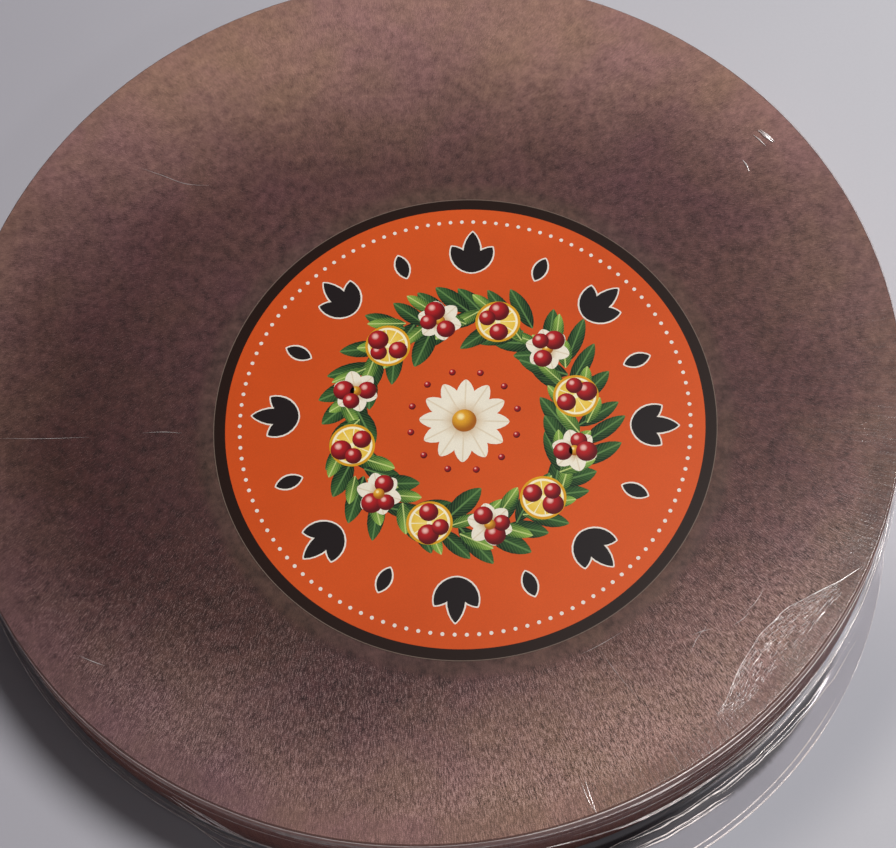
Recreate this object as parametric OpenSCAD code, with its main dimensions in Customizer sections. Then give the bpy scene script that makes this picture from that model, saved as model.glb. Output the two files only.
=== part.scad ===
// A round chopping block as it is sold: one thick turned disc of end-grain wood, with a
// round printed paper label lying on it, the two held together by tight clear shrink film.
// The film is an upper and a lower web. The upper one covers the upper face and the side, the
// lower one the lower face and its bevel, and the two are welded to each other just above that
// bevel, in a thin flat fin that runs all the way round.
// Lengths are in millimetres. The origin is on the block's axis, on the face that the
// wrapped block stands on. +Z is up, and -Y is the near side, where the fin is widest.

/* [Block] */
// Diameter of the wooden disc
block_d = 360; // [240:1:450]
// Thickness of the wooden disc
block_t = 40; // [20:0.5:80]
// Width of the 45 degree bevel round the upper edge
arris_top = 0.6; // [0.5:0.1:6]
// Width of the 45 degree bevel round the lower edge
arris_bottom = 2; // [0.5:0.1:6]

/* [Label] */
// Diameter of the paper label
label_d = 189; // [60:1:200]
// Thickness of the paper
label_t = 0.2; // [0.1:0.05:0.5]
// How far the label's centre lies to the right of the block's axis
label_right = 13; // [-15:1:15]
// How far the label's centre lies to the near side of the block's axis
label_near = 20; // [-20:1:20]

/* [Film] */
// Thickness of each web of film
film_t = 0.3; // [0.2:0.05:0.5]
// Radial air gap between the side of the block and the film
film_gap = 0.3; // [0.1:0.05:1]
// Width of the sloping ring of film that is lifted off the wood by the label's edge
tent_w = 7; // [2:0.5:12]
// Height of the weld above the block's lower bevel
weld_above = 0.5; // [0.4:0.1:6]

/* [Fin] */
// Width of the welded fin on the sides and at the back
fin_w = 3; // [1.5:0.5:10]
// Width of the fin where it is widest, at the near right
skirt_w = 20; // [10:1:40]
// Direction of the widest place, in degrees from +X towards +Y
skirt_angle = -75; // [-120:1:-60]
// How much smaller the rounded front outline's radius is than the block's
skirt_tighter = 20; // [0:1:40]

/* [Hidden] */
$fn = 180;

// Depth that a cut or a join runs past the surface it has to break
overrun = 1;

// Heights, from the standing face up
block_z = film_t;
block_top_z = block_z + block_t;
weld_z = block_z + arris_bottom + weld_above;

// Radii
block_r = block_d / 2;
label_r = label_d / 2;
wall_r = block_r + film_gap;
fin_r = block_r + fin_w;

// The front of the fin is a circle of its own, moved towards the near side
skirt_r = block_r - skirt_tighter;
skirt_shift = block_r + skirt_w - skirt_r;

// The turned disc, bevelled round both edges
module block() {
    color([0.42, 0.30, 0.27])
        translate([0, 0, block_z])
            rotate_extrude()
                polygon([
                    [0, 0],
                    [block_r - arris_bottom, 0],
                    [block_r, arris_bottom],
                    [block_r, block_t - arris_top],
                    [block_r - arris_top, block_t],
                    [0, block_t]
                ]);
}

// The label's place on the block's upper face
module at_label() {
    translate([label_right, -label_near, block_top_z])
        children();
}

// The round paper label, lying flat on the wood
module label() {
    color([0.80, 0.33, 0.16])
        at_label()
            cylinder(r = label_r, h = label_t);
}

// The space under one web, from its face to the weld, or with skin = film_t the same space
// and the film round it. It starts at z = 0 on the face and goes down
module web_space(bevel, depth, skin) {
    side_r = wall_r + skin;
    mirror([0, 0, 1])
        rotate_extrude()
            polygon([
                [0, -skin],
                [block_r - bevel, -skin],
                [side_r, bevel],
                [side_r, depth],
                [0, depth]
            ]);
}

// The flat welded fin of one web, from z = 0 up: a ring, and the rounded front beyond it
module fin() {
    difference() {
        union() {
            cylinder(r = fin_r, h = film_t);
            rotate(skirt_angle)
                translate([skirt_shift, 0, 0])
                    cylinder(r = skirt_r, h = film_t);
        }
        translate([0, 0, -overrun])
            cylinder(r = wall_r, h = film_t + 2 * overrun);
    }
}

// The low mound in the upper web where it passes over the label: a flat top as wide as the
// label and a sloping ring round it, running down to the wood
module label_mound() {
    rotate_extrude()
        polygon([
            [0, -overrun],
            [label_r + tent_w, -overrun],
            [label_r + tent_w, 0],
            [label_r + film_gap, label_t],
            [0, label_t]
        ]);
}

// The upper web: over the label and the upper face, down the side to the weld, and out
module film_top() {
    depth = block_top_z - weld_z;
    color([0.85, 0.88, 0.92, 0.3]) {
        difference() {
            union() {
                translate([0, 0, block_top_z])
                    web_space(arris_top, depth, film_t);
                translate([0, 0, film_t])
                    at_label()
                        label_mound();
            }
            translate([0, 0, block_top_z])
                web_space(arris_top, depth + overrun, 0);
            at_label()
                label_mound();
        }
        translate([0, 0, weld_z])
            fin();
    }
}

// The lower web: under the lower face, round its bevel to the weld, and out
module film_bottom() {
    depth = weld_z - block_z;
    color([0.80, 0.84, 0.88, 0.3]) {
        translate([0, 0, block_z])
            mirror([0, 0, 1])
                difference() {
                    web_space(arris_bottom, depth, film_t);
                    web_space(arris_bottom, depth + overrun, 0);
                }
        translate([0, 0, weld_z - film_t])
            fin();
    }
}

block();
label();
film_top();
film_bottom();
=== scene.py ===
import math
import random

import bmesh
import bpy
from mathutils import Matrix, Vector


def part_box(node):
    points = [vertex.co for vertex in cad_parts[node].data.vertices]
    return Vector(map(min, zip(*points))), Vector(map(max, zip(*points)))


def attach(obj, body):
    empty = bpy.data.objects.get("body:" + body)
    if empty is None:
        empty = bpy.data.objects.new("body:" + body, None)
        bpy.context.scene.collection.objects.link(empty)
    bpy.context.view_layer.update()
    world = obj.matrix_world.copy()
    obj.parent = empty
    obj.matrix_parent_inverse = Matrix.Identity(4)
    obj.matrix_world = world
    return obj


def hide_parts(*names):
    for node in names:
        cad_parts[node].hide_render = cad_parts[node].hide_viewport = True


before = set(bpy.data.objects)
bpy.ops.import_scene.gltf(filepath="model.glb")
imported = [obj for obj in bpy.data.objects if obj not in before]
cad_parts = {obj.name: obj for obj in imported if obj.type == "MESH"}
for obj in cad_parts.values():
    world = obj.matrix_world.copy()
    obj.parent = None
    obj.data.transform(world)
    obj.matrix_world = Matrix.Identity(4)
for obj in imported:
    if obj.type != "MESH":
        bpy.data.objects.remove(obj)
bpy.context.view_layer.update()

MM = 0.001
wood_low, wood_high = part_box("block")
paper_low, paper_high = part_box("label")
WOOD_TOP = wood_high.z
WOOD_R = (wood_high.x - wood_low.x) / 2
PAPER_TOP = paper_high.z
PAPER_R = (paper_high.x - paper_low.x) / 2
PAPER_X = (paper_high.x + paper_low.x) / 2
PAPER_Y = (paper_high.y + paper_low.y) / 2


# The camera stands over the near side and looks steeply down through a long lens, turned a
# few degrees in the hand. The whole picture is a little narrower than the block.
EYE = Vector((0.0022, -0.3863, 0.8617))
AIM = Vector((0.0068, -0.0205, 0.0403))
HAND_TURN = math.radians(-6.3)
camera = bpy.data.objects.new("camera", bpy.data.cameras.new("camera"))
bpy.context.scene.collection.objects.link(camera)
camera.data.lens = 96.4
camera.data.sensor_width = 36.0
look = (AIM - EYE).to_track_quat("-Z", "Y").to_matrix().to_4x4()
camera.matrix_world = Matrix.Translation(EYE) @ look @ Matrix.Rotation(HAND_TURN, 4, "Z")
bpy.context.scene.camera = camera
bpy.context.scene.view_settings.view_transform = "Standard"


# A smooth painted floor, pale blue-grey, a little uneven in tone. Painted light makes it paler
# to the right, and a painted shadow darkens it beside the wide front of the film. Far off it
# passes into a pale backdrop.
def add_node(tree, kind, inputs=None, **settings):
    made = tree.nodes.new(kind)
    for name, value in settings.items():
        setattr(made, name, value)
    for name, value in (inputs or {}).items():
        if isinstance(value, bpy.types.NodeSocket):
            tree.links.new(value, made.inputs[name])
        else:
            made.inputs[name].default_value = value
    return made


def calc(tree, operation, first, second=0.5, third=0.5):
    made = add_node(tree, "ShaderNodeMath", {0: first, 1: second, 2: third}, operation=operation)
    return made.outputs[0]


def blend_colour(tree, share, first, second, mode="MIX"):
    made = tree.nodes.new("ShaderNodeMix")
    made.data_type = "RGBA"
    made.blend_type = mode
    for place, value in ((0, share), (6, first), (7, second)):
        if isinstance(value, bpy.types.NodeSocket):
            tree.links.new(value, made.inputs[place])
        else:
            made.inputs[place].default_value = value
    return made.outputs[2]


def ramp_between(tree, value, low, high, start=0.0, end=1.0):
    made = add_node(
        tree,
        "ShaderNodeMapRange",
        {"Value": value, "From Min": low, "From Max": high, "To Min": start, "To Max": end},
        interpolation_type="SMOOTHSTEP",
    )
    return made.outputs[0]


def noise_of(tree, where, scale, detail=2.0, rough=0.5):
    made = add_node(
        tree,
        "ShaderNodeTexNoise",
        {"Vector": where, "Scale": scale, "Detail": detail, "Roughness": rough},
    )
    return made.outputs["Fac"]


def paint(red, green, blue):
    """A colour from its 0 to 255 values, as a picture has them."""
    linear = []
    for part in (red, green, blue):
        share = part / 255
        linear.append(share / 12.92 if share <= 0.04045 else ((share + 0.055) / 1.055) ** 2.4)
    return (*linear, 1.0)


def new_material(name):
    made = bpy.data.materials.new(name)
    made.use_nodes = True
    tree = made.node_tree
    return made, tree, tree.nodes["Principled BSDF"]


def polar(tree, spot):
    """Radius, and the unit vector's two parts, from a place in the plane."""
    apart = add_node(tree, "ShaderNodeSeparateXYZ", {0: spot})
    flat = add_node(
        tree, "ShaderNodeCombineXYZ", {0: apart.outputs[0], 1: apart.outputs[1], 2: 0.0}
    ).outputs[0]
    length = add_node(tree, "ShaderNodeVectorMath", {0: flat}, operation="LENGTH").outputs["Value"]
    unit = add_node(tree, "ShaderNodeVectorMath", {0: flat}, operation="NORMALIZE").outputs[0]
    parts = add_node(tree, "ShaderNodeSeparateXYZ", {0: unit})
    return length, parts.outputs[0], parts.outputs[1], apart.outputs[2]


def moved(tree, spot, x, y, stretch=1.0):
    """A place measured from the point x, y, with its X made shorter by the stretch."""
    made = add_node(
        tree,
        "ShaderNodeMapping",
        {"Vector": spot, "Location": (-x / stretch, -y, 0.0), "Scale": (1 / stretch, 1.0, 1.0)},
    )
    return made.outputs[0]


def shown_ray(tree):
    """1 for a ray from the camera, and for what shiny and clear things show of the backdrop."""
    path = tree.nodes.new("ShaderNodeLightPath")
    mirrored = calc(
        tree, "MAXIMUM", path.outputs["Is Glossy Ray"], path.outputs["Is Transmission Ray"]
    )
    return calc(tree, "MAXIMUM", path.outputs["Is Camera Ray"], mirrored)


FLOOR_REACH = 9.0
BACKDROP = paint(196, 197, 204)
floor_mesh = bmesh.new()
bmesh.ops.create_circle(floor_mesh, cap_ends=True, segments=96, radius=FLOOR_REACH)
floor_data = bpy.data.meshes.new("floor")
floor_mesh.to_mesh(floor_data)
floor_mesh.free()
floor = bpy.data.objects.new("floor", floor_data)
bpy.context.scene.collection.objects.link(floor)
floor_paint, tree, skin = new_material("floor_paint")
spot = tree.nodes.new("ShaderNodeTexCoord").outputs["Object"]
cloud = noise_of(tree, spot, 7.0, 3.0)
grit = noise_of(tree, spot, 900.0, 2.0)
from_left = add_node(tree, "ShaderNodeSeparateXYZ", {0: spot}).outputs[0]
# Painted light: the floor is painted paler to the right, as if lit more on that side.
painted_light_right = ramp_between(tree, calc(tree, "MULTIPLY_ADD", cloud, 0.2, from_left), -0.20, 0.40)
tone = blend_colour(tree, painted_light_right, paint(176, 174, 184), paint(200, 200, 208))
far, across, along, unused = polar(tree, spot)
# Painted shadow: a soft darker patch on the floor beside the wide front of the film, at the near right.
front = calc(tree, "MULTIPLY_ADD", across, 0.53, calc(tree, "MULTIPLY", along, -0.848))
painted_shadow = calc(tree, "MULTIPLY", ramp_between(tree, front, 0.78, 0.97), ramp_between(tree, far, 0.232, 0.202))
tone = blend_colour(tree, painted_shadow, tone, paint(172, 173, 183))
tone = blend_colour(tree, calc(tree, "MULTIPLY", grit, 0.10), tone, paint(150, 150, 158))
far_off = ramp_between(tree, far, 0.5, 1.9)
tree.links.new(tone, skin.inputs["Base Color"])
skin.inputs["Roughness"].default_value = 0.62
skin.inputs["Emission Color"].default_value = BACKDROP
tree.links.new(calc(tree, "MULTIPLY", shown_ray(tree), far_off), skin.inputs["Emission Strength"])
bump = add_node(tree, "ShaderNodeBump", {"Height": grit, "Strength": 0.05, "Distance": 0.0002})
tree.links.new(bump.outputs[0], skin.inputs["Normal"])
floor_data.materials.append(floor_paint)


# Studio light: one long soft lamp high on the far right, which throws the block's short shadow
# to the near left and glints in the film at the near right, a weak strip that draws lines
# along the near folds, and a dim room with a darker ceiling.
def soft_lamp(name, place, aim, width, power, colour, length=None):
    lamp = bpy.data.lights.new(name, "AREA")
    lamp.shape = "ELLIPSE" if length else "DISK"
    lamp.size = width
    if length:
        lamp.size_y = length
    lamp.energy = power
    lamp.color = colour
    made = bpy.data.objects.new(name, lamp)
    bpy.context.scene.collection.objects.link(made)
    turn = (Vector(aim) - Vector(place)).to_track_quat("-Z", "Y").to_matrix().to_4x4()
    made.matrix_world = Matrix.Translation(place) @ turn
    return made


soft_lamp("key_lamp", (0.82, 0.38, 2.00), (0.0, 0.0, 0.02), 0.30, 39.5, (1.0, 0.985, 0.96), 0.85)
soft_lamp("strip_lamp", (0.62, -0.82, 1.18), (0.08, -0.16, 0.02), 0.90, 1.2, (1.0, 0.99, 0.97), 0.16)

room = bpy.data.worlds.new("room")
bpy.context.scene.world = room
room.use_nodes = True
tree = room.node_tree
sky = tree.nodes["Background"]
sky.inputs["Color"].default_value = (1.0, 0.95, 0.95, 1.0)
facing = tree.nodes.new("ShaderNodeTexCoord").outputs["Generated"]
upward = add_node(tree, "ShaderNodeSeparateXYZ", {0: facing}).outputs[2]
tree.links.new(ramp_between(tree, upward, 0.55, 0.90, 0.088, 0.046), sky.inputs["Strength"])
backdrop = add_node(tree, "ShaderNodeBackground", {"Color": BACKDROP, "Strength": 1.0})
low = ramp_between(tree, upward, 0.50, 0.25)
mixed = add_node(
    tree,
    "ShaderNodeMixShader",
    {0: calc(tree, "MULTIPLY", shown_ray(tree), low), 1: sky.outputs[0], 2: backdrop.outputs[0]},
)
tree.links.new(mixed.outputs[0], tree.nodes["World Output"].inputs["Surface"])


# The block: a slice across a hardwood trunk, turned to a disc and sanded. The faces are end
# grain: a dark heart with fine rays that fan out from the pith, and paler sapwood beyond it,
# which also carries the film's sheen at the rim as painted sheen. The face is also painted
# lighter to the right and darker to the left as painted light. The side is long grain. Small
# pale flecks on the face are painted highlights: the film's glints where it clings to the
# fibres, strongest at the near right.
PITH = (-10.0 * MM, 55.0 * MM)
HEART = (1.0 * MM, -5.0 * MM)
HEART_STRETCH = 1.36
RAY_WIDTH = 0.24 * MM
RAY_LENGTH = 1.9 * MM
RAY_RADIUS = 140.0 * MM
HALO = 9.0 * MM

wood, tree, skin = new_material("end_grain_wood")
places = tree.nodes.new("ShaderNodeTexCoord")
spot = places.outputs["Object"]
apart = add_node(tree, "ShaderNodeSeparateXYZ", {0: spot})
side_x, side_y, height = apart.outputs[0], apart.outputs[1], apart.outputs[2]
radius, across, along, unused = polar(tree, moved(tree, spot, *PITH))
ray_place = add_node(
    tree,
    "ShaderNodeCombineXYZ",
    {
        0: calc(tree, "MULTIPLY", across, RAY_RADIUS / RAY_WIDTH),
        1: calc(tree, "MULTIPLY", along, RAY_RADIUS / RAY_WIDTH),
        2: calc(tree, "MULTIPLY", radius, 1 / RAY_LENGTH),
    },
).outputs[0]
rays = noise_of(tree, ray_place, 1.0, 2.0, 0.6)
pores = noise_of(tree, spot, 3200.0, 1.0, 0.6)
mottle = noise_of(tree, spot, 220.0, 4.0, 0.75)
clouds = noise_of(tree, spot, 14.0, 2.0, 0.5)

wander = calc(tree, "MULTIPLY_ADD", clouds, 0.05, -0.025)
from_heart = polar(tree, moved(tree, spot, *HEART, HEART_STRETCH))[0]
# Paler sapwood beyond the heart, partly the wood's own tone and partly painted sheen of the film at the rim.
sap_and_sheen = ramp_between(tree, calc(tree, "ADD", from_heart, wander), 0.099, 0.169)
# Partly the wood's own tone and partly painted light: the face is painted lighter to the right and far side and darker
# to the left, as lit from the right.
slope = calc(tree, "MULTIPLY_ADD", side_y, 0.56, calc(tree, "ADD", side_x, wander))
right = ramp_between(tree, slope, -0.20, 0.02)
heart_tone = blend_colour(tree, right, paint(59, 31, 31), paint(91, 60, 61))
sap_tone = blend_colour(tree, right, paint(134, 101, 99), paint(155, 119, 111))
tone = blend_colour(tree, sap_and_sheen, heart_tone, sap_tone)
stain = ramp_between(tree, noise_of(tree, spot, 55.0, 3.0, 0.65), 0.36, 0.64)
tone = blend_colour(tree, stain, tone, paint(246, 250, 240), "MULTIPLY")
past_label = calc(
    tree, "SUBTRACT", polar(tree, moved(tree, spot, PAPER_X, PAPER_Y))[0], PAPER_R
)
# Painted haze: where the film stands off the wood round the label, its veil is painted into the wood as a greyer tone.
clings = ramp_between(tree, past_label, 0.3 * HALO, HALO)
lifted_film_haze = calc(tree, "MULTIPLY", calc(tree, "SUBTRACT", 1.0, clings), 0.34)
tone = blend_colour(tree, lifted_film_haze, tone, paint(94, 78, 66))

axis_r, turned, risen = polar(tree, spot)[:3]
rim_calm = ramp_between(tree, axis_r, 0.165, 0.175)
near = ramp_between(tree, side_y, -0.02, -0.13)
toward = calc(tree, "MULTIPLY_ADD", turned, 0.707, calc(tree, "MULTIPLY", risen, -0.707))
dim_rim = calc(tree, "MULTIPLY", ramp_between(tree, toward, 0.78, 0.96), rim_calm)
tone = blend_colour(tree, dim_rim, tone, paint(218, 214, 212), "MULTIPLY")
warmth = ramp_between(tree, noise_of(tree, spot, 17.0, 2.0, 0.55), 0.34, 0.66)
tint = blend_colour(tree, warmth, paint(254, 246, 255), paint(255, 252, 243))
tone = blend_colour(tree, 1.0, tone, tint, "MULTIPLY")
# Painted shade: the paler outer wood is made darker toward the near left and toward the right, where less of the
# painted sheen falls.
for way_x, way_y, low, high, dimmed in (
    (-0.743, -0.669, 0.88, 0.98, paint(228, 230, 236)),
    (0.990, -0.139, 0.80, 0.96, paint(218, 219, 226)),
):
    toward = calc(tree, "MULTIPLY_ADD", turned, way_x, calc(tree, "MULTIPLY", risen, way_y))
    share = calc(tree, "MULTIPLY", ramp_between(tree, toward, low, high), sap_and_sheen)
    tone = blend_colour(tree, share, tone, dimmed, "MULTIPLY")
# Painted glints: the film's glints on the fibres it clings to are strongest at the near side and the near right rim;
# this sets how strongly the fine grain shows.
rim_side = calc(tree, "MULTIPLY_ADD", side_x, 0.5, calc(tree, "MULTIPLY", side_y, -0.85))
rim_share = ramp_between(tree, rim_side, 0.115, 0.165)
glint_strength = calc(tree, "MULTIPLY_ADD", near, 0.42, calc(tree, "MULTIPLY_ADD", rim_share, 0.45, 0.35))
calm = calc(tree, "MULTIPLY", sap_and_sheen, calc(tree, "SUBTRACT", 1.0, near))
glint_strength = calc(tree, "MULTIPLY", glint_strength, calc(tree, "MULTIPLY_ADD", calm, -0.22, 1.0))
glint_strength = calc(tree, "MULTIPLY", glint_strength, calc(tree, "MULTIPLY_ADD", rim_calm, -0.50, 1.0))
glint_strength = calc(tree, "MULTIPLY", glint_strength, clings)
glint_strength = calc(tree, "MULTIPLY_ADD", glint_strength, 0.90, 0.10)
fine = calc(tree, "MULTIPLY_ADD", rays, 1.05, calc(tree, "MULTIPLY_ADD", pores, 0.95, -1.0))
fine = calc(tree, "MAXIMUM", fine, calc(tree, "MULTIPLY", fine, 0.72))
fine = calc(tree, "MULTIPLY", calc(tree, "MULTIPLY", fine, glint_strength), 4.4)
patchy = calc(tree, "MULTIPLY_ADD", calc(tree, "MULTIPLY", sap_and_sheen, near), -0.7, 2.6)
patchy = calc(tree, "MULTIPLY_ADD", sap_and_sheen, -1.2, patchy)
coarse = calc(tree, "MULTIPLY", calc(tree, "SUBTRACT", mottle, 0.5), patchy)
shade = calc(tree, "ADD", calc(tree, "ADD", fine, coarse), 1.0)
shade = add_node(tree, "ShaderNodeCombineXYZ", {0: shade, 1: shade, 2: shade}).outputs[0]
tone = blend_colour(tree, 1.0, tone, shade, "MULTIPLY")
# Painted highlights: pale pinkish flecks where the painted glints are strongest.
glint_fleck = calc(tree, "MULTIPLY", ramp_between(tree, fine, 0.18, 0.75), glint_strength)
tone = blend_colour(tree, calc(tree, "MULTIPLY", glint_fleck, 0.50), tone, paint(196, 168, 164))

around = add_node(
    tree,
    "ShaderNodeCombineXYZ",
    {
        0: calc(tree, "MULTIPLY", turned, 150.0),
        1: calc(tree, "MULTIPLY", risen, 150.0),
        2: calc(tree, "MULTIPLY", height, 60.0),
    },
).outputs[0]
side_grain = noise_of(tree, around, 1.0, 4.0, 0.65)
side_tone = blend_colour(tree, side_grain, paint(96, 50, 44), paint(160, 106, 94))
# Painted sheen: a paler band along the top of the side, for the film's highlight there.
upper_side_sheen = calc(tree, "MULTIPLY_ADD", side_grain, 0.004, height)
upper_side_sheen = ramp_between(tree, upper_side_sheen, WOOD_TOP - 0.0100, WOOD_TOP - 0.0040)
side_tone = blend_colour(tree, calc(tree, "MULTIPLY", upper_side_sheen, 0.75), side_tone, paint(202, 164, 156))
faces = add_node(tree, "ShaderNodeSeparateXYZ", {0: places.outputs["Normal"]}).outputs[2]
flatness = ramp_between(tree, calc(tree, "ABSOLUTE", faces), 0.55, 0.85)
tone = blend_colour(tree, flatness, side_tone, tone)
# Painted shade: the rounded arris is painted darker, as the film's corner is shaded there.
bevel_shade = calc(tree, "MULTIPLY", ramp_between(tree, faces, 0.60, 0.68), ramp_between(tree, faces, 0.82, 0.74))
tone = blend_colour(tree, bevel_shade, tone, paint(186, 180, 180), "MULTIPLY")
tree.links.new(tone, skin.inputs["Base Color"])
relief = calc(tree, "MULTIPLY_ADD", rays, 0.6, pores)
bump = add_node(tree, "ShaderNodeBump", {"Height": relief, "Strength": 0.35, "Distance": 0.0004})
tree.links.new(bump.outputs[0], skin.inputs["Normal"])
tree.links.new(ramp_between(tree, pores, 0.3, 0.7, 0.50, 0.66), skin.inputs["Roughness"])
skin.inputs["Specular IOR Level"].default_value = 0.18
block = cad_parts["block"]
block.data.materials.clear()
block.data.materials.append(wood)


# The label: a round sheet of coated paper, printed orange with a dark rim, lying loose on
# the wood and held there by the film.
RIM_INNER_R = 90.0 * MM
RIM_OUTER_R = 94.2 * MM
LABEL_TURN = math.radians(-9.0)


def print_grain(name):
    """A group that gives the faint unevenness of ink on coated paper, round zero."""
    group = bpy.data.node_groups.new(name, "ShaderNodeTree")
    group.interface.new_socket("Amount", in_out="INPUT", socket_type="NodeSocketFloat")
    group.interface.new_socket("Shade", in_out="OUTPUT", socket_type="NodeSocketFloat")
    given = group.nodes.new("NodeGroupInput")
    result = group.nodes.new("NodeGroupOutput")
    spot = group.nodes.new("ShaderNodeTexCoord").outputs["Object"]
    fine = noise_of(group, spot, 1600.0, 2.0)
    broad = noise_of(group, spot, 60.0, 2.0)
    both = calc(group, "ADD", fine, broad)
    centred = calc(group, "SUBTRACT", both, 1.0)
    group.links.new(calc(group, "MULTIPLY", centred, given.outputs[0]), result.inputs[0])
    return group


PRINT_GRAIN = print_grain("print_grain")


def inked(tree, colour, amount):
    """The colour made a little lighter and darker by the print's grain."""
    grain = tree.nodes.new("ShaderNodeGroup")
    grain.node_tree = PRINT_GRAIN
    grain.inputs[0].default_value = amount
    value = calc(tree, "ADD", grain.outputs[0], 1.0)
    shade = add_node(tree, "ShaderNodeCombineXYZ", {0: value, 1: value, 2: value}).outputs[0]
    return blend_colour(tree, 1.0, colour, shade, "MULTIPLY")


paper, tree, skin = new_material("label_paper")
spot = tree.nodes.new("ShaderNodeTexCoord").outputs["Object"]
radius = polar(tree, moved(tree, spot, PAPER_X, PAPER_Y))[0]
field_share = ramp_between(tree, noise_of(tree, spot, 9.0, 1.0), 0.3, 0.7)
field = blend_colour(tree, field_share, paint(212, 81, 26), paint(220, 88, 31))
on_rim = ramp_between(tree, radius, RIM_INNER_R - 0.0001, RIM_INNER_R + 0.0001)
off_rim = ramp_between(tree, radius, RIM_OUTER_R - 0.0001, RIM_OUTER_R + 0.0001)
tone = blend_colour(tree, on_rim, field, paint(34, 16, 10))
tone = blend_colour(tree, off_rim, tone, paint(122, 104, 94))
tree.links.new(inked(tree, tone, 0.14), skin.inputs["Base Color"])
skin.inputs["Roughness"].default_value = 0.42
skin.inputs["Specular IOR Level"].default_value = 0.12
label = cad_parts["label"]
label.data.materials.clear()
label.data.materials.append(paper)


# The print: flat shapes of ink on the label, in layers a few hundredths of a millimetre
# apart. A round garland of leaves, berries, cut lemons and blossoms, a rosette in its
# middle, black leaves with white edges round it, and a chain of white dots at the rim.
INK_STEP = 0.014 * MM
LEAST_LIFT = 0.13


def petal(length, width, sides=20, point=0.6):
    """A leaf or petal from its root at the origin out along +X, pointed at both ends."""
    shape = bmesh.new()
    bmesh.ops.create_circle(shape, cap_ends=True, segments=sides, radius=1.0)
    for vert in shape.verts:
        along = vert.co.x
        vert.co.y *= (1.0 - abs(along) ** 2) ** (point * 0.5) if abs(along) < 1 else 0.0
        vert.co.x = along
    return shape, Vector((length / 2, 0, 0)), Vector((length / 2, width / 2, 1))


def disc(radius, sides=28):
    shape = bmesh.new()
    bmesh.ops.create_circle(shape, cap_ends=True, segments=sides, radius=1.0)
    return shape, Vector((0, 0, 0)), Vector((radius, radius, 1))


class Ink:
    """One colour of the print: shapes are stamped into it, then it becomes a piece."""

    def __init__(self, name, material, layer):
        self.name = name
        self.material = material
        self.layer = layer
        self.count = 0
        self.mesh = bmesh.new()
        self.marks = self.mesh.loops.layers.uv.new("UVMap")

    def stamp(self, shape, at, turn=0.0, grow=0.0):
        made, shift, size = shape
        marks = made.loops.layers.uv.new("UVMap")
        for face in made.faces:
            for loop in face.loops:
                loop[marks].uv = (loop.vert.co.x * 0.5 + 0.5, loop.vert.co.y * 0.5 + 0.5)
        out = bmesh.ops.extrude_face_region(made, geom=made.faces[:])["geom"]
        top = [part for part in out if isinstance(part, bmesh.types.BMVert)]
        bmesh.ops.translate(made, verts=top, vec=(0, 0, INK_STEP * 0.1))
        bmesh.ops.recalc_face_normals(made, faces=made.faces)
        wide = Vector((size.x + grow, size.y + grow, 1))
        lift = (self.layer + LEAST_LIFT * (self.count % 7)) * INK_STEP
        self.count += 1
        place = (
            Matrix.Translation((PAPER_X, PAPER_Y, PAPER_TOP + lift))
            @ Matrix.Rotation(LABEL_TURN, 4, "Z")
            @ Matrix.Translation(Vector((at[0], at[1], 0)))
            @ Matrix.Rotation(turn, 4, "Z")
            @ Matrix.Translation(shift)
            @ Matrix.Diagonal((wide.x, wide.y, 1, 1))
        )
        bmesh.ops.transform(made, matrix=place, verts=made.verts)
        held = bpy.data.meshes.new("held")
        made.to_mesh(held)
        made.free()
        self.mesh.from_mesh(held)
        bpy.data.meshes.remove(held)

    def done(self):
        data = bpy.data.meshes.new(self.name)
        self.mesh.to_mesh(data)
        self.mesh.free()
        data.materials.append(self.material)
        piece = bpy.data.objects.new(self.name, data)
        bpy.context.scene.collection.objects.link(piece)
        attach(piece, "root")
        return piece


def ink_material(name, colour_of, amount=0.16):
    made, tree, skin = new_material(name)
    marks = tree.nodes.new("ShaderNodeUVMap")
    marks.uv_map = "UVMap"
    apart = add_node(tree, "ShaderNodeSeparateXYZ", {0: marks.outputs[0]})
    u = calc(tree, "MULTIPLY_ADD", apart.outputs[0], 2.0, -1.0)
    v = calc(tree, "MULTIPLY_ADD", apart.outputs[1], 2.0, -1.0)
    tone = colour_of(tree, u, v)
    tree.links.new(inked(tree, tone, amount), skin.inputs["Base Color"])
    skin.inputs["Roughness"].default_value = 0.40
    skin.inputs["Specular IOR Level"].default_value = 0.12
    return made


def from_middle(tree, u, v, at_u=0.0, at_v=0.0):
    du = calc(tree, "SUBTRACT", u, at_u)
    dv = calc(tree, "SUBTRACT", v, at_v)
    squares = calc(tree, "ADD", calc(tree, "MULTIPLY", du, du), calc(tree, "MULTIPLY", dv, dv))
    return calc(tree, "SQRT", squares)


def leaf_tone(dark, light, vein):
    """A leaf darker at its root and edge, with a pale midrib and slanting side veins."""

    def tone(tree, u, v):
        side = calc(tree, "ABSOLUTE", v)
        body = blend_colour(tree, ramp_between(tree, u, -0.9, 0.9), dark, light)
        body = blend_colour(tree, ramp_between(tree, side, 0.35, 0.95), body, dark)
        slant = calc(tree, "MULTIPLY_ADD", side, -3.0, calc(tree, "MULTIPLY", u, 6.0))
        rib = calc(tree, "ABSOLUTE", calc(tree, "SINE", calc(tree, "MULTIPLY", slant, 3.1)))
        body = blend_colour(tree, ramp_between(tree, rib, 0.35, 0.05, 0.0, 0.55), body, vein)
        return blend_colour(tree, ramp_between(tree, side, 0.13, 0.05), body, vein)

    return tone


def ball_tone(dark, body, shine):
    """A round fruit lit from its upper left."""

    def tone(tree, u, v):
        lit = from_middle(tree, u, v, -0.3, 0.35)
        made = blend_colour(tree, ramp_between(tree, lit, 0.35, 1.25), body, dark)
        return blend_colour(tree, ramp_between(tree, lit, 0.42, 0.10), made, shine)

    return tone


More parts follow.
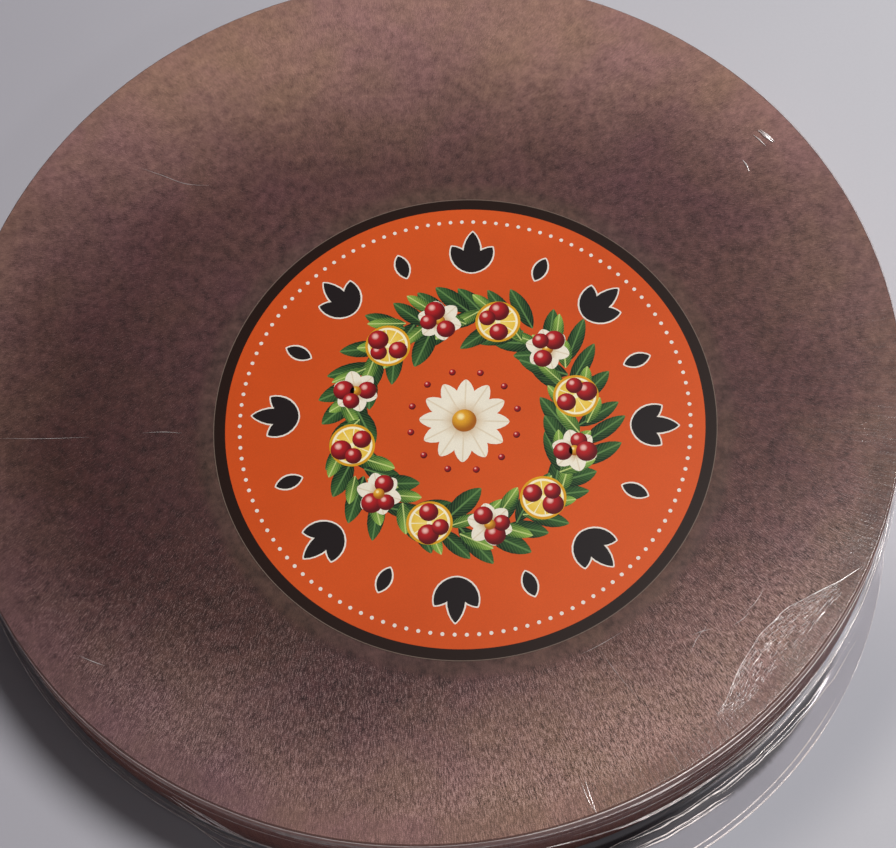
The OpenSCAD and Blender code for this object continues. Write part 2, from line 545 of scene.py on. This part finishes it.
def slice_tone(tree, u, v):
    """A cut lemon: yellow peel, white pith, and ten segments with pale walls."""
    far = from_middle(tree, u, v)
    angle = calc(tree, "ARCTAN2", v, u)
    wall = calc(tree, "ABSOLUTE", calc(tree, "SINE", calc(tree, "MULTIPLY", angle, 5.0)))
    flesh = blend_colour(tree, far, paint(250, 226, 120), paint(238, 190, 48))
    made = blend_colour(tree, ramp_between(tree, wall, 0.10, 0.24), paint(255, 246, 205), flesh)
    made = blend_colour(tree, ramp_between(tree, far, 0.14, 0.08), made, paint(255, 246, 205))
    made = blend_colour(tree, ramp_between(tree, far, 0.76, 0.80), made, paint(255, 246, 210))
    return blend_colour(tree, ramp_between(tree, far, 0.86, 0.90), made, paint(226, 164, 30))


def petal_tone(tree, u, v):
    """A cream petal, warm and shaded at its root."""
    body = blend_colour(tree, ramp_between(tree, u, -0.9, 0.1), paint(206, 170, 120), paint(246, 238, 220))
    crease = ramp_between(tree, calc(tree, "ABSOLUTE", v), 0.12, 0.02, 0.0, 0.5)
    return blend_colour(tree, crease, body, paint(214, 190, 150))


def plain_tone(colour):
    def tone(tree, u, v):
        return blend_colour(tree, 0.0, colour, colour)

    return tone


white_edge = Ink("print_white_edges", ink_material("white_ink", plain_tone(paint(240, 232, 222))), 1)
black = Ink("print_black_leaves", ink_material("black_ink", plain_tone(paint(30, 22, 24))), 2)
deep_leaf = Ink(
    "print_deep_leaves",
    ink_material("deep_green_ink", leaf_tone(paint(16, 40, 24), paint(52, 92, 46), paint(96, 136, 76))),
    1,
)
fresh_leaf = Ink(
    "print_fresh_leaves",
    ink_material("fresh_green_ink", leaf_tone(paint(44, 92, 34), paint(132, 172, 70), paint(196, 214, 130))),
    2,
)
fruit = Ink(
    "print_berries",
    ink_material("red_ink", ball_tone(paint(96, 12, 20), paint(186, 28, 34), paint(246, 190, 180))),
    5,
)
lemon = Ink("print_lemons", ink_material("lemon_ink", slice_tone), 3)
bloom = Ink("print_blossoms", ink_material("cream_ink", petal_tone), 4)
gold = Ink(
    "print_gold_hearts",
    ink_material("gold_ink", ball_tone(paint(170, 96, 22), paint(232, 168, 44), paint(255, 236, 170))),
    5,
)

GARLAND_R = 43.0 * MM
chance = random.Random(31)


def on_ring(radius, angle):
    return (radius * math.cos(angle), radius * math.sin(angle))


for i in range(64):
    angle = 2 * math.pi * i / 64 + chance.uniform(-0.03, 0.03)
    lean = (0.75 if i % 2 else -0.75) + chance.uniform(-0.25, 0.25)
    root = on_ring(GARLAND_R + chance.uniform(-3, 3) * MM, angle)
    deep_leaf.stamp(petal(chance.uniform(15, 20) * MM, chance.uniform(6, 8) * MM), root, angle + math.pi / 2 + lean)
for i in range(48):
    angle = 2 * math.pi * i / 48 + chance.uniform(-0.05, 0.05)
    lean = (0.6 if i % 2 else -0.6) + chance.uniform(-0.3, 0.3)
    root = on_ring(GARLAND_R + chance.uniform(-4, 4) * MM, angle)
    fresh_leaf.stamp(petal(chance.uniform(11, 15) * MM, chance.uniform(4.5, 6) * MM), root, angle + math.pi / 2 + lean)
for i in range(6):
    angle = 2 * math.pi * (i + 0.25) / 6
    lemon.stamp(disc(8.6 * MM, 40), on_ring(GARLAND_R, angle), angle)
for i in range(6):
    angle = 2 * math.pi * (i + 0.75) / 6
    middle = on_ring(GARLAND_R, angle)
    for k in range(6):
        bloom.stamp(petal(8.6 * MM, 6.4 * MM, 18, 0.3), middle, angle + k * math.pi / 3)
    gold.stamp(disc(2.1 * MM), middle)
for i in range(12):
    angle = 2 * math.pi * (i + 0.5) / 12
    for out, swing, size in ((-4.0, -0.04, 3.6), (4.4, 0.02, 4.0), (0.6, 0.10, 3.2)):
        fruit.stamp(disc(size * MM), on_ring(GARLAND_R + out * MM, angle + swing), 0.0)
for k in range(12):
    angle = 2 * math.pi * k / 12
    bloom.stamp(petal(17 * MM, 7.6 * MM, 20, 0.3), (0, 0), angle)
gold.stamp(disc(4.6 * MM, 36), (0, 0))
for k in range(12):
    fruit.stamp(disc(1.3 * MM, 18), on_ring(20.5 * MM, 2 * math.pi * (k + 0.5) / 12))

for i in range(16):
    angle = 2 * math.pi * i / 16
    big = i % 2 == 0
    for swing in (-0.62, 0.0, 0.62) if big else (0.0,):
        length = (17.5 if swing == 0.0 else 13.5) if big else 10.0
        width = 6.6 if big else 5.0
        root = on_ring((62.5 if big else 64.5) * MM, angle)
        leaf = length * MM, width * MM
        white_edge.stamp(petal(*leaf), root, angle + swing, 0.65 * MM)
        black.stamp(petal(*leaf), root, angle + swing)
for i in range(120):
    white_edge.stamp(disc(0.75 * MM, 12), on_ring(84.5 * MM, 2 * math.pi * i / 120))

for ink in (white_edge, black, deep_leaf, fresh_leaf, fruit, lemon, bloom, gold):
    ink.done()


# The film: two webs of clear shrink film, welded to each other in a thin fin round the foot.
# The upper one runs over the label, which lifts it a little off the wood, and down the side.
# At the near right the fin is wide and loose, and lies on the floor with two raised folds.
# The clear film only mirrors a little. The doubled film of the fin is a little milky too, and
# near the wood it carries a painted shadow, widest at the near right.
WELD_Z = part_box("film_bottom")[1].z
SIDE_R = WOOD_R + 0.45 * MM
LIFT = 0.12 * MM
TENT = 7.0 * MM
FIN_R = WOOD_R + 3.0 * MM
SKIRT_R = WOOD_R - 20.0 * MM
SKIRT_SHIFT = 40.0 * MM
SKIRT_ANGLE = math.radians(-75.0)
LEAST_Z = 0.5 * MM
FLAT_END = WOOD_R - 0.9 * MM
TURNS = 360
WEB_GAP = 0.1 * MM


def soft_step(value):
    share = min(1.0, max(0.0, value))
    return share * share * (3.0 - 2.0 * share)


def mound(x, y):
    """How far the label holds the upper web up over the wood at a place."""
    beyond = math.hypot(x - PAPER_X, y - PAPER_Y) - PAPER_R
    return (PAPER_TOP - WOOD_TOP) * (1.0 - soft_step((beyond - 0.3 * MM) / TENT))


def pucker(x, y):
    """Low swells that run in from the rim, where the film was drawn tight, and die out at it."""
    radius = math.hypot(x, y)
    angle = math.atan2(y, x)
    near_rim = soft_step((radius - 0.105) / 0.07) * soft_step((FLAT_END - radius) / 0.012)
    swell = math.sin(23 * angle + 40 * radius) + 0.6 * math.sin(41 * angle - 55 * radius + 1.0)
    return 0.045 * MM * near_rim * (1.6 + swell)


def face_height(x, y):
    return WOOD_TOP + LIFT + mound(x, y) + pucker(x, y)


def fin_edge(angle):
    """Radius of the fin's outer edge: a ring, or the rounded front where that is farther out."""
    turned = angle - SKIRT_ANGLE
    reach = SKIRT_R ** 2 - (SKIRT_SHIFT * math.sin(turned)) ** 2
    front = SKIRT_SHIFT * math.cos(turned) + math.sqrt(reach)
    return max(FIN_R, front)


def between(angle, start, end, soft=6.0):
    """1 inside a stretch of the round, in degrees, and falling softly to 0 at its ends."""
    degrees = math.degrees(angle)
    return soft_step((degrees - start) / soft) * soft_step((end - degrees) / soft)


def jagged(angle, size):
    """A small irregular wander along the round."""
    wave = math.sin(37 * angle) + 0.7 * math.sin(71 * angle + 2.0) + 0.5 * math.sin(123 * angle + 1.0)
    return size * wave / 2.2


def first_fold(angle):
    """Distance from the wood of the raised fold nearest to it, and the fold's height."""
    high = 0.6 * MM * between(angle, -92, -40, 16)
    return 3.7 * MM + jagged(angle, 0.45 * MM), high * (1.0 + jagged(angle * 1.7, 0.25))


def second_fold(angle):
    high = 0.28 * MM * between(angle, -98, -58, 14)
    return 8.2 * MM + jagged(angle + 1.0, 0.35 * MM), high * (1.0 + jagged(angle * 1.3, 0.3))


def fin_height(angle, out):
    """Height of the upper sheet of the fin at a distance from the wood's side."""
    width = fin_edge(angle) - WOOD_R
    loose = soft_step((width - 3.0 * MM) / (6.0 * MM))
    sag = (WELD_Z - LEAST_Z) * loose * soft_step(out / (1.3 * MM))
    ruffle = math.sin(31 * angle) + 0.7 * math.sin(53 * angle + 2.0) + 0.5 * math.sin(11 * angle)
    wave = 0.14 * MM * ruffle * soft_step(out / (3.0 * MM)) * (1.0 - 0.8 * loose)
    high = WELD_Z - sag + wave
    for place, tall in (first_fold(angle), second_fold(angle)):
        high += tall * math.exp(-(((out - place) / (0.7 * MM)) ** 2))
    return max(LEAST_Z, high)


def fin_place(angle, share):
    """Radius and height of the fin at a share of its width, from the weld's root to the edge."""
    radius = SIDE_R + (fin_edge(angle) - SIDE_R) * share
    return radius, fin_height(angle, radius - WOOD_R)


def side_ridge(angle, height):
    """Fine folds along the side wall, level with the rim."""
    wander = 0.9 * math.sin(2 * angle + 1.0) + 0.5 * math.sin(5 * angle) + 0.2 * math.sin(13 * angle)
    place = height / MM + wander
    fold = math.sin(place * 2.03) + 0.7 * math.sin(place * 1.27 + 1.9 * math.sin(3 * angle))
    strength = 0.55 + 0.45 * math.sin(4 * angle + height * 260)
    return 0.13 * MM * fold * strength


def spun_web(name, steps):
    """A web of film spun from its profile: (radius, height) from the middle outwards."""
    made = bmesh.new()
    line = [made.verts.new((radius, 0.0, height)) for radius, height in steps]
    edges = [made.edges.new(pair) for pair in zip(line, line[1:])]
    bmesh.ops.spin(
        made,
        geom=line + edges,
        cent=(0, 0, 0),
        axis=(0, 0, 1),
        angle=2 * math.pi,
        steps=TURNS,
        use_merge=True,
    )
    bmesh.ops.remove_doubles(made, verts=made.verts, dist=1e-6)
    return made


def finish_web(made, name, outward):
    bmesh.ops.recalc_face_normals(made, faces=made.faces)
    highest = max(made.faces, key=lambda face: outward * face.calc_center_median().z)
    if highest.normal.z * outward < 0:
        bmesh.ops.reverse_faces(made, faces=made.faces)
    data = bpy.data.meshes.new(name)
    made.to_mesh(data)
    made.free()
    data.polygons.foreach_set("use_smooth", [True] * len(data.polygons))
    piece = bpy.data.objects.new(name, data)
    bpy.context.scene.collection.objects.link(piece)
    return piece


ARRIS = ((-0.6, 0.0), (-0.2, -0.12), (0.12, -0.42), (0.36, -0.95), (0.45, -1.7))
FOOT = ((-2.0, 0.0), (-1.2, 0.6), (-0.5, 1.3), (0.1, 2.0))
FIN_STEPS = 42


def web_steps(face_z, bend, rings, side_steps):
    """Profile of one web, with the fin drawn level and put in its place later."""
    steps = [(FLAT_END * i / rings, face_z) for i in range(rings + 1)]
    steps += [(WOOD_R + out * MM, face_z + down * MM) for out, down in bend]
    start = steps[-1][1]
    steps += [(SIDE_R, start + (WELD_Z - start) * i / side_steps) for i in range(1, side_steps + 1)]
    steps += [(SIDE_R + i / FIN_STEPS, WELD_Z) for i in range(1, FIN_STEPS + 1)]
    return steps


def shape_web(made, face_z, gap):
    """Gives the spun profile its mound, puckers, side folds and loose fin."""
    for vert in made.verts:
        x, y, z = vert.co
        radius = math.hypot(x, y)
        angle = math.atan2(y, x)
        if radius > SIDE_R + 0.01:
            out, high = fin_place(angle, radius - SIDE_R)
            vert.co = (out * math.cos(angle), out * math.sin(angle), high - gap)
        elif abs(radius - SIDE_R) < 1e-5:
            calm = soft_step((z - WELD_Z) / (3.0 * MM))
            out = SIDE_R + (0.2 * MM + side_ridge(angle, z)) * calm
            vert.co = (out * math.cos(angle), out * math.sin(angle), z - gap * (1 - calm))
        elif radius < FLAT_END + 1e-5 and face_z > WELD_Z:
            vert.co.z = face_height(x, y)


film_clear, tree, skin = new_material("shrink_film")
places = tree.nodes.new("ShaderNodeTexCoord")
spot = places.outputs["Object"]
radius, across, along, height = polar(tree, spot)
crinkle_place = add_node(
    tree,
    "ShaderNodeCombineXYZ",
    {
        0: calc(tree, "MULTIPLY", across, 110.0),
        1: calc(tree, "MULTIPLY", along, 110.0),
        2: calc(tree, "MULTIPLY", radius, 55.0),
    },
).outputs[0]
crinkle = noise_of(tree, crinkle_place, 1.0, 3.0, 0.6)
cling = noise_of(tree, spot, 1300.0, 1.0, 0.6)
on_face = ramp_between(tree, radius, WOOD_R - 0.0008, WOOD_R - 0.0024)
past_label = calc(
    tree, "SUBTRACT", polar(tree, moved(tree, spot, PAPER_X, PAPER_Y))[0], PAPER_R
)
off_label = ramp_between(tree, past_label, 0.0, HALO)
relief = calc(tree, "MULTIPLY_ADD", cling, calc(tree, "MULTIPLY", on_face, 0.35), crinkle)
relief = calc(tree, "MULTIPLY", relief, off_label)
on_fin_only = ramp_between(tree, radius, WOOD_R + 0.001, WOOD_R + 0.004, 1.0, 0.25)
relief = calc(tree, "MULTIPLY", relief, on_fin_only)
relief = calc(tree, "MULTIPLY_ADD", noise_of(tree, spot, 30.0, 1.0), 0.3, relief)
bump = add_node(tree, "ShaderNodeBump", {"Height": relief, "Strength": 0.30, "Distance": 0.00025})
tree.links.new(bump.outputs[0], skin.inputs["Normal"])
slant = add_node(tree, "ShaderNodeLayerWeight", {"Blend": 0.5}).outputs["Facing"]
least = calc(tree, "MULTIPLY_ADD", on_face, -0.015, 0.030)
drift = calc(tree, "MULTIPLY_ADD", crinkle, 0.008, calc(tree, "ADD", height, -0.004))
low_down = ramp_between(tree, drift, 0.017, 0.010, 0.08, 1.0)
veil = calc(tree, "MULTIPLY", calc(tree, "POWER", slant, 5.0), calc(tree, "MULTIPLY", low_down, 0.26))
mirror = calc(tree, "ADD", veil, least)
mirror = calc(tree, "DIVIDE", calc(tree, "MULTIPLY", mirror, 2.0), calc(tree, "ADD", mirror, 1.0))
at_rim = ramp_between(tree, radius, WOOD_R - 0.0016, WOOD_R - 0.0008)
at_rim = calc(tree, "MULTIPLY", at_rim, ramp_between(tree, height, WOOD_TOP - 0.0035, WOOD_TOP - 0.0020))
mirror = calc(tree, "MULTIPLY", mirror, calc(tree, "MULTIPLY_ADD", at_rim, -0.8, 1.0))
on_fin = ramp_between(tree, radius, WOOD_R + 0.0011, WOOD_R + 0.0022)
at_bend = ramp_between(tree, radius, WOOD_R + 0.0042, WOOD_R + 0.0026)
at_bend = calc(tree, "MULTIPLY", at_bend, ramp_between(tree, height, 0.008, 0.005))
quiet = calc(tree, "MAXIMUM", calc(tree, "MULTIPLY", on_fin, 0.55), calc(tree, "MULTIPLY", at_bend, 0.92))
mirror = calc(tree, "MULTIPLY", mirror, calc(tree, "SUBTRACT", 1.0, quiet))
# Painted shadow: the fin is painted dark close to the wood, reaching farthest out at the near right, as the block's
# shadow.
front = calc(tree, "MULTIPLY_ADD", across, 0.26, calc(tree, "MULTIPLY", along, -0.966))
reach = ramp_between(tree, front, 0.78, 0.97, WOOD_R + 0.0012, WOOD_R + 0.0085)
past_root = calc(tree, "MULTIPLY_ADD", crinkle, 0.0014, calc(tree, "SUBTRACT", radius, reach))
root = calc(tree, "MULTIPLY", ramp_between(tree, past_root, 0.0024, -0.0004), on_fin)
milk_and_shadow = calc(tree, "MULTIPLY_ADD", root, 0.24, calc(tree, "MULTIPLY", on_fin, 0.10))
whole = calc(tree, "ADD", mirror, milk_and_shadow)
tree.links.new(whole, skin.inputs["Alpha"])
tree.links.new(calc(tree, "DIVIDE", mirror, whole), skin.inputs["Metallic"])
tone = blend_colour(tree, on_fin, (0.97, 0.98, 1.0, 1.0), paint(162, 152, 162))
# The painted shadow's dark colour near the wood.
tone = blend_colour(tree, root, tone, paint(62, 54, 58))
tree.links.new(tone, skin.inputs["Base Color"])
dull = calc(tree, "MULTIPLY", on_face, off_label)
tree.links.new(ramp_between(tree, dull, 0.0, 1.0, 0.12, 0.14), skin.inputs["Roughness"])

FACE_RINGS = 92
SIDE_STEPS = 46
upper = spun_web("film_upper_web", web_steps(WOOD_TOP + LIFT, ARRIS, FACE_RINGS, SIDE_STEPS))
shape_web(upper, WOOD_TOP + LIFT, 0.0)
upper = finish_web(upper, "film_upper_web", 1)
upper.data.materials.append(film_clear)
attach(upper, "root")
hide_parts("film_top")

UNDER_Z = 0.06 * MM
lower = spun_web("film_lower_web", web_steps(UNDER_Z, FOOT, 6, 1))
shape_web(lower, UNDER_Z, WEB_GAP)
lower = finish_web(lower, "film_lower_web", -1)
lower.data.materials.append(film_clear)
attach(lower, "root")
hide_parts("film_bottom")


# The folds: where the film was gathered, it lies double in thin raised welts. They are
# coloured white, partly because creased film whitens and partly as painted highlights where
# the folds catch the light.
# They run along the side, along the loose fin and over the rim, and a few cross the face.
fold_white_and_highlight, tree, skin = new_material("folded_film")
spot = tree.nodes.new("ShaderNodeTexCoord").outputs["Object"]
tree.links.new(
    ramp_between(tree, noise_of(tree, spot, 260.0, 3.0), 0.35, 0.62, 0.60, 1.0),
    skin.inputs["Alpha"],
)
# White: partly the creased film's own whitening, partly painted highlight.
skin.inputs["Base Color"].default_value = (1.0, 0.91, 0.90, 1.0)
skin.inputs["Metallic"].default_value = 0.35
skin.inputs["Roughness"].default_value = 0.24
skin.inputs["Specular IOR Level"].default_value = 1.0


def round_place(angle, radius, height):
    return (radius * math.cos(angle), radius * math.sin(angle), height)


LEDGE_SLOPE = 0.42


class Welts:
    """Folds of one kind: lines are laid, each fine at both ends, then they become a piece."""

    def __init__(self, name):
        self.ledges = bmesh.new()
        self.data = bpy.data.curves.new(name, "CURVE")
        self.data.dimensions = "3D"
        self.data.bevel_depth = MM
        self.data.bevel_resolution = 1
        self.data.use_fill_caps = True

    def lay(self, places, width, fade=0.25):
        line = self.data.splines.new("BEZIER")
        line.resolution_u = 4
        line.bezier_points.add(len(places) - 1)
        for i, place in enumerate(places):
            point = line.bezier_points[i]
            share = i / (len(places) - 1)
            thick = soft_step(min(share, 1 - share) / fade) if fade else 1.0
            point.co = place
            point.handle_left_type = "AUTO"
            point.handle_right_type = "AUTO"
            point.radius = 0.5 * width * (0.15 + 0.85 * thick)

    def lay_on_face(self, places, width, fade=0.25):
        """A line over the face, from its places in millimetres."""
        lifted = [(x * MM, y * MM, face_height(x * MM, y * MM) + 0.04 * MM) for x, y in places]
        self.lay(lifted, width, fade)

    def lay_round(self, start, end, place_of, width, fade=0.25):
        """A line along the round between two angles in degrees."""
        count = max(4, int(abs(end - start) / 1.5))
        angles = [math.radians(start + (end - start) * i / count) for i in range(count + 1)]
        self.lay([round_place(angle, *place_of(angle)) for angle in angles], width, fade)

    def lay_ledge(self, start, end, place_of, width, fade=0.25):
        """A fold with a flat upper side that slopes outwards, between two angles in degrees."""
        count = max(4, int(abs(end - start) / 0.75))
        last = None
        for i in range(count + 1):
            share = i / count
            angle = math.radians(start + (end - start) * share)
            radius, height = place_of(angle)
            thick = soft_step(min(share, 1 - share) / fade) if fade else 1.0
            half = 0.5 * width * MM * (0.12 + 0.88 * thick)
            ring = [
                self.ledges.verts.new(round_place(angle, radius - half, height + half * LEDGE_SLOPE)),
                self.ledges.verts.new(round_place(angle, radius + half, height - half * LEDGE_SLOPE)),
                self.ledges.verts.new(round_place(angle, radius - half, height - half * LEDGE_SLOPE)),
            ]
            if last:
                for k in range(3):
                    after = (k + 1) % 3
                    self.ledges.faces.new((last[k], last[after], ring[after], ring[k]))
            else:
                self.ledges.faces.new(ring)
            last = ring
        self.ledges.faces.new(last)

    def done(self):
        held = bpy.data.objects.new("held", self.data)
        bpy.context.scene.collection.objects.link(held)
        ready = held.evaluated_get(bpy.context.evaluated_depsgraph_get())
        mesh = bpy.data.meshes.new_from_object(ready)
        bpy.data.objects.remove(held)
        bmesh.ops.recalc_face_normals(self.ledges, faces=self.ledges.faces)
        self.ledges.from_mesh(mesh)
        self.ledges.to_mesh(mesh)
        self.ledges.free()
        mesh.name = self.data.name
        mesh.materials.clear()
        mesh.materials.append(fold_white_and_highlight)
        piece = bpy.data.objects.new(self.data.name, mesh)
        bpy.context.scene.collection.objects.link(piece)
        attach(piece, "root")
        return piece


def mix_place(first, second, share):
    return tuple(a + (b - a) * share for a, b in zip(first, second))


chance = random.Random(7)
face_creases = Welts("film_face_creases")
FAN_TOP = (
    (149.1, -96.6), (140.4, -101), (131.9, -104), (119.6, -108.9),
    (108.4, -117.6), (99.5, -128.4), (92.1, -140.6), (86.4, -146.6),
)
FAN_FOOT = (
    (147.5, -98.5), (142, -105), (137, -108.5), (124.7, -121),
    (115.1, -127.9), (108, -134.5), (104.1, -138.5), (94.5, -146),
)


def fan_place(share, along):
    """A place in the fan of creases: 0 to 1 from its long edge to the rim, and 0 to 1 along."""
    step = min(int(along * (len(FAN_TOP) - 1)), len(FAN_TOP) - 2)
    rest = along * (len(FAN_TOP) - 1) - step
    outer = mix_place(FAN_TOP[step], FAN_TOP[step + 1], rest)
    inner = mix_place(FAN_FOOT[step], FAN_FOOT[step + 1], rest)
    return mix_place(outer, inner, share)


# The fan's creases are white welts, partly painted highlights of the film's sheen in that fan.
face_creases.lay_on_face([fan_place(0.0, i / 14) for i in range(6)], 0.52, 0.3)
face_creases.lay_on_face([fan_place(0.0, i / 14) for i in range(3, 14)], 0.20)
face_creases.lay_on_face([fan_place(0.34, 0.30 + i / 14) for i in range(8)], 0.08)
FAN_STROKES = 460
for i in range(FAN_STROKES):
    share = chance.uniform(0.02, 0.98) ** 1.3
    start = chance.uniform(0.16, 0.95)
    length = chance.uniform(0.012, 0.045)
    drift = chance.uniform(-0.03, 0.03)
    face_creases.lay_on_face(
        [fan_place(share + drift * k / 2, min(0.99, start + length * k / 2)) for k in range(3)],
        chance.uniform(0.08, 0.18),
    )
for places, width in (
    (((39, -162), (40, -168), (41.2, -174)), 0.36),
    (((37.6, -163), (38.8, -168.5), (40.4, -173.5)), 0.26),
    # A painted glint: a bright dot at the end of the double line.
    (((40.6, -172.6), (41.4, -174.6)), 1.1),
    (((-102, 106), (-93, 101), (-84, 96), (-75, 94)), 0.16),
    (((-108, -9), (-100, -9.6), (-93, -11)), 0.20),
    (((-162, -4), (-145, -6.4), (-128, -8)), 0.16),
    (((-136, -94), (-131, -97), (-127, -99)), 0.26),
    (((113, -100), (109, -105), (104, -109)), 0.16),
    (((106.4, -108.4), (103, -111), (99.6, -112.7)), 0.20),
    (((92.3, -113), (88, -113.6), (84, -114.5)), 0.18),
    (((90, -112), (86, -116), (82.6, -121.2)), 0.14),
    (((44, -116.6), (51, -114), (60, -110)), 0.14),
    (((51, -116), (55, -124), (62, -136)), 0.12),
    # Painted glints: broad short bright marks for the lamp's glints on small puckers of the film at the far right.
    (((142, 89), (144.4, 86), (147, 82.6)), 1.5),
    (((143, 89), (145.4, 86), (147.6, 83)), 1.1),
    (((140, 87), (142, 84.4), (144, 81.4)), 0.7),
    (((134, 76.5), (135.2, 73.6), (135.6, 71)), 0.9),
):
    face_creases.lay_on_face(places, width)
face_creases.done()

side_folds = Welts("film_side_folds")


def side_line(height, tilt=0.0, wave=0.35):
    """Places for a fold along the side at a height in millimetres."""

    def place(angle):
        high = height + tilt * math.sin(angle * 2 + height) + wave * math.sin(9 * angle + height)
        return SIDE_R + 0.2 * MM + side_ridge(angle, high * MM), high * MM

    return place


def slanted_line(start, high_start, end, high_end):
    """Places for a fold that climbs or falls along the side between two angles in degrees."""

    def place(angle):
        share = (math.degrees(angle) - start) / (end - start)
        high = high_start + (high_end - high_start) * soft_step(share)
        high += 0.25 * math.sin(9 * angle + high_start)
        return SIDE_R + 0.2 * MM + side_ridge(angle, high * MM), high * MM

    return place


for start, high_start, end, high_end, width in (
    (-150, 37.5, -118, 36.5, 0.24),
    (-122, 36.5, -84, 36.0, 0.34),
    (-90, 36.0, -62, 33.6, 0.28),
    (-73, 33.0, -65, 33.4, 0.50),
    (-68, 34.0, -26, 34.6, 0.30),
    (-114, 33.5, -106, 33.5, 0.60),
    (-84, 17.5, -70, 9.6, 0.40),
    (-74, 8.9, -60, 7.4, 0.90),
    (-66, 8.2, -50, 1.8, 0.76),
):
    side_folds.lay_ledge(start, end, slanted_line(start, high_start, end, high_end), width)
for start, high_start, end, high_end, width in (
    (-128, 5.6, -108, 6.6, 0.60),
    (-127, 20.0, -118, 5.0, 0.50),
    (-125, 18.0, -116, 4.5, 0.36),
    (-129, 15.0, -120, 3.6, 0.36),
    (-62, 12.8, -42, 11.0, 0.40),
    (-80, 24.0, -60, 20.0, 0.30),
):
    side_folds.lay_round(start, end, slanted_line(start, high_start, end, high_end), width)
SIDE_FOLDS = 22
for i in range(SIDE_FOLDS):
    start = chance.uniform(-180, 180)
    high = chance.uniform(6.0, 35.0)
    side_folds.lay_round(
        start, start + chance.uniform(14, 60), side_line(high, chance.uniform(-1.2, 1.2)),
        chance.uniform(0.08, 0.18),
    )
side_folds.done()

rim_folds = Welts("film_rim_folds")


def rim_line(angle):
    return WOOD_R + 0.22 * MM + jagged(angle, 0.04 * MM), WOOD_TOP - 0.28 * MM


def inner_line(angle):
    return WOOD_R - 1.0 * MM + jagged(angle, 0.1 * MM), WOOD_TOP + 0.16 * MM


rim_folds.lay_ledge(-165, -10, rim_line, 0.15, 0.3)
rim_folds.lay_ledge(-95, -50, rim_line, 0.32, 0.3)
rim_folds.lay_round(-10, 40, rim_line, 0.26, 0.3)
rim_folds.lay_round(-78, -42, inner_line, 0.09, 0.3)
rim_folds.done()

foot_folds = Welts("film_foot_folds")


def fold_crest(fold):
    def place(angle):
        out, high = fold(angle)
        return WOOD_R + out, fin_height(angle, out) + 0.03 * MM

    return place


def on_fin(out, wave=0.2):
    """Places for a line on the fin at a distance from the wood in millimetres."""

    def place(angle):
        away = min(out * MM + jagged(angle * 1.1, wave * MM), fin_edge(angle) - WOOD_R)
        return WOOD_R + away, fin_height(angle, away) + 0.03 * MM

    return place


for start, end, out, width in (
    (-73, -52, 4.7, 0.60),
    (-73, -60, 7.8, 0.50),
    (-73, -61, 9.0, 0.50),
    (-62, -36, 5.8, 0.30),
):
    foot_folds.lay_ledge(start, end, on_fin(out, 0.35), width)
foot_folds.lay_round(-88, -36, fold_crest(first_fold), 0.30)
foot_folds.lay_round(-96, -60, fold_crest(second_fold), 0.22)
foot_folds.lay_round(-150, -112, on_fin(1.3, 0.2), 0.20)
foot_folds.lay_round(-128, -110, on_fin(2.0, 0.5), 0.30)
foot_folds.lay_round(-126, -109, on_fin(3.8, 0.6), 0.30)
foot_folds.lay_round(-120, -108, on_fin(6.4, 0.5), 0.34)
foot_folds.lay_round(-46, -16, on_fin(1.8, 0.1), 0.30)
for i in range(26):
    start = chance.uniform(-180, 180)
    foot_folds.lay_round(
        start, start + chance.uniform(8, 26), on_fin(chance.uniform(0.6, 2.2), 0.2), chance.uniform(0.12, 0.26)
    )
foot_folds.done()

sealed_edge = Welts("film_sealed_edge")


def seal_line(inset):
    def place(angle):
        wide = soft_step((fin_edge(angle) - FIN_R) / (12.0 * MM))
        away = fin_edge(angle) - WOOD_R - inset * MM * wide
        return WOOD_R + away, fin_height(angle, away) + 0.02 * MM

    return place


sealed_edge.lay_round(-180, 180, seal_line(0.15), 0.10, 0)
sealed_edge.lay_round(-172, -112, seal_line(0.15), 0.36, 0.2)
sealed_edge.lay_ledge(-122, -44, seal_line(0.15), 0.56, 0.08)
sealed_edge.lay_ledge(-84, -44, seal_line(2.2), 0.46, 0.12)
sealed_edge.lay_ledge(-112, -86, seal_line(2.3), 0.40, 0.2)
sealed_edge.done()
